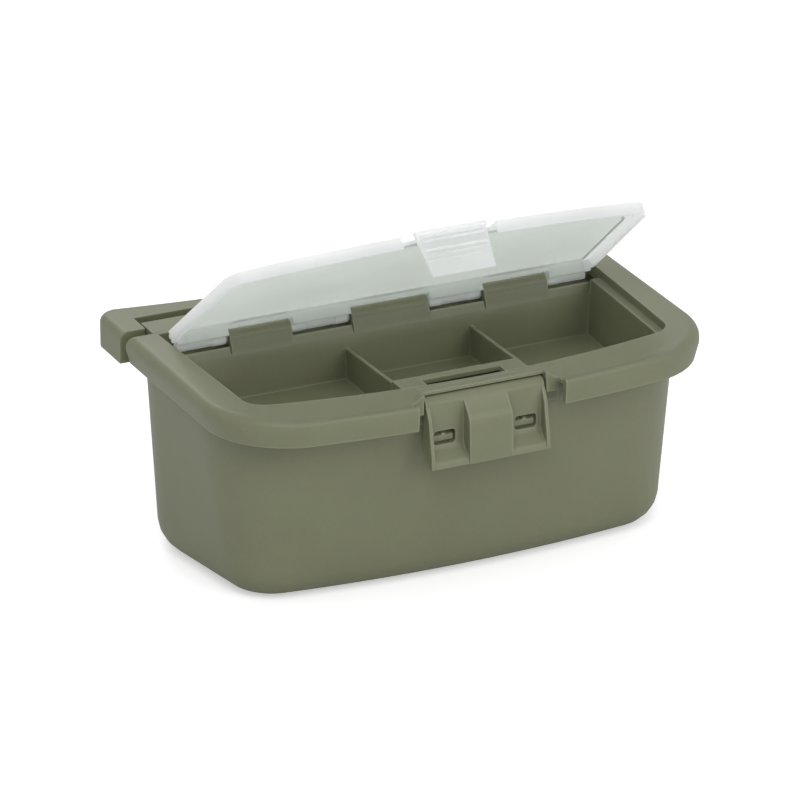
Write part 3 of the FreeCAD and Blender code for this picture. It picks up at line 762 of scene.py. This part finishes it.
def frosted_plastic(name, panel, border, milky, bordered):
    """Thin clear polypropylene: milky, part see-through, with a soft gloss; when bordered, its middle
    panel is painted a greyer green as shade from the tray beneath.
    """
    material, tree, shader = new_material(name)
    place = place_on_object(tree)
    cloud = noise(tree, place, 38.0, 4.0, 0.55)
    fine = noise(tree, place, 900.0, 2.0, 0.5)
    border_step_and_panel_shade = cover_border_and_panel_shade(tree) if bordered else 1.0
    # Painted shade: the middle panel takes the greyer panel colour, the border the whiter one
    tones = colour_mix(tree, panel, border, border_step_and_panel_shade)
    shade = tree.nodes.new("ShaderNodeVectorMath")
    shade.operation = "SCALE"
    put(tree, shade.inputs[0], tones)
    put(tree, shade.inputs["Scale"], spread(tree, cloud, 0.93, 1.04))
    normal = rounded_normal(tree, CLEAR_EDGE_ROUND)
    normal = bumped_normal(tree, normal, border_step_and_panel_shade, 1.0, BORDER_STEP)
    normal = bumped_normal(tree, normal, fine, 0.10, 0.1)
    put(tree, shader.inputs["Base Color"], shade.outputs["Vector"])
    put(tree, shader.inputs["Roughness"], spread(tree, cloud, 0.26, 0.40))
    put(tree, shader.inputs["Normal"], normal)
    put(tree, shader.inputs["IOR"], PLASTIC_IOR)
    put(tree, shader.inputs["Transmission Weight"], 0.40)

    # Light from the far side shows through as a milky glow
    glow = tree.nodes.new("ShaderNodeBsdfTranslucent")
    put(tree, glow.inputs["Color"], shade.outputs["Vector"])
    mix = tree.nodes.new("ShaderNodeMixShader")
    put(tree, mix.inputs["Fac"], milky)
    put(tree, mix.inputs[1], shader.outputs["BSDF"])
    put(tree, mix.inputs[2], glow.outputs["BSDF"])
    put(tree, tree.nodes["Material Output"].inputs["Surface"], mix.outputs["Shader"])
    return material


def drawn_wire(name):
    """Bright drawn steel wire: fine marks along its length."""
    material, tree, shader = new_material(name)
    stretch = tree.nodes.new("ShaderNodeMapping")
    stretch.inputs["Scale"].default_value = (40.0, 2400.0, 2400.0)
    put(tree, stretch.inputs["Vector"], place_on_object(tree))
    marks = noise(tree, stretch.outputs["Vector"], 1.0, 3.0, 0.6)
    tones = colour_ramp(tree, marks, (0.42, 0.42, 0.43), (0.62, 0.62, 0.63))
    put(tree, shader.inputs["Base Color"], tones)
    put(tree, shader.inputs["Roughness"], spread(tree, marks, 0.22, 0.38))
    put(tree, shader.inputs["Metallic"], 1.0)
    return material


# Studio
def seen_directly(tree):
    """1 where the camera looks at a surface directly or through clear plastic."""
    path = tree.nodes.new("ShaderNodeLightPath").outputs
    return sum_node(tree, "MAXIMUM", path["Is Camera Ray"], path["Is Transmission Ray"])


def make_world():
    """Soft pale light from all round, behind which the camera sees plain white."""
    world = bpy.data.worlds.new("studio")
    bpy.context.scene.world = world
    world.use_nodes = True
    tree = world.node_tree
    tree.nodes.clear()
    mix = tree.nodes.new("ShaderNodeMixShader")
    put(tree, mix.inputs["Fac"], seen_directly(tree))
    for place, colour, strength in ((1, (0.96, 0.98, 1.0), 0.72), (2, (1.0, 1.0, 1.0), 1.0)):
        sky = tree.nodes.new("ShaderNodeBackground")
        put(tree, sky.inputs["Color"], colour)
        put(tree, sky.inputs["Strength"], strength)
        put(tree, mix.inputs[place], sky.outputs["Background"])
    out = tree.nodes.new("ShaderNodeOutputWorld")
    put(tree, out.inputs["Surface"], mix.outputs["Shader"])


def make_floor():
    """Pale floor that keeps the object's shadow."""
    data = bpy.data.meshes.new("floor")
    corners = [(x * FLOOR_HALF, y * FLOOR_HALF, FLOOR_Z) for x, y in ((-1, -1), (1, -1), (1, 1), (-1, 1))]
    data.from_pydata(corners, [], [(0, 1, 2, 3)])
    floor = linked_object("floor", data)
    material, tree, shader = new_material("pale_floor")
    put(tree, shader.inputs["Base Color"], (0.80, 0.80, 0.80))
    put(tree, shader.inputs["Roughness"], 0.9)
    put(tree, shader.inputs["Specular IOR Level"], 0.0)
    glow = tree.nodes.new("ShaderNodeEmission")
    put(tree, glow.inputs["Strength"], sum_node(tree, "MULTIPLY", seen_directly(tree), FLOOR_GLOW))
    add = tree.nodes.new("ShaderNodeAddShader")
    put(tree, add.inputs[0], shader.outputs["BSDF"])
    put(tree, add.inputs[1], glow.outputs["Emission"])
    put(tree, tree.nodes["Material Output"].inputs["Surface"], add.outputs["Shader"])
    data.materials.append(material)


def turn_towards(holder, direction):
    """Point a lamp or the camera along a direction."""
    holder.rotation_mode = "QUATERNION"
    holder.rotation_quaternion = direction.to_track_quat("-Z", "Y")


def make_lamp(name, place, size, power):
    """Round soft lamp aimed at the object."""
    lamp = bpy.data.lights.new(name, "AREA")
    lamp.shape = "DISK"
    lamp.size = size
    lamp.energy = power
    holder = linked_object(name, lamp)
    holder.location = place
    turn_towards(holder, LAMP_AIM - Vector(place))


def make_camera():
    """Camera at the photograph's viewing angle."""
    camera = bpy.data.cameras.new("camera")
    camera.lens = CAMERA_LENS
    camera.sensor_width = SENSOR_WIDTH
    camera.clip_start = 0.1
    camera.clip_end = 20.0
    holder = linked_object("camera", camera)
    back = Vector((math.sin(CAMERA_AZIMUTH) * math.cos(CAMERA_ELEVATION),
                   -math.cos(CAMERA_AZIMUTH) * math.cos(CAMERA_ELEVATION),
                   math.sin(CAMERA_ELEVATION)))
    holder.location = CAMERA_TARGET + back * CAMERA_DISTANCE
    turn_towards(holder, -back)
    bpy.context.scene.camera = holder


def main():
    """Camera, materials, the object's pieces, and the studio round them."""
    make_camera()
    # pale is the colour of the painted highlight along the olive plastic's edges
    olive = moulded_plastic("olive_moulded", base=(0.178, 0.186, 0.110), pale=(0.290, 0.300, 0.210),
                            dark=(0.162, 0.169, 0.099), grain=1500.0, rough=0.46)
    # The cover's panel colour is painted shade from the dark tray seen through it
    clear = frosted_plastic("frosted_cover", panel=(0.88, 0.915, 0.885), border=(0.97, 0.98, 0.975),
                            milky=0.50, bordered=True)
    bright = frosted_plastic("frosted_tongue", panel=(0.96, 0.97, 0.965), border=(0.97, 0.98, 0.975),
                             milky=0.45, bordered=False)
    wire = drawn_wire("pin_wire")

    make_lid(olive)
    make_tub(olive)
    make_latch(olive)
    make_belt_loops(olive)
    make_cover(clear)
    make_tongue(bright)
    dress_pins(wire)

    make_world()
    make_floor()
    make_lamp("key", place=(-0.9, -1.6, 2.2), size=1.4, power=20.0)
    make_lamp("fill", place=(0.9, -2.2, 1.1), size=1.4, power=15.5)
    make_lamp("back", place=(0.3, 1.8, 1.6), size=1.2, power=12.0)
    bpy.context.scene.view_settings.view_transform = "Standard"


main()
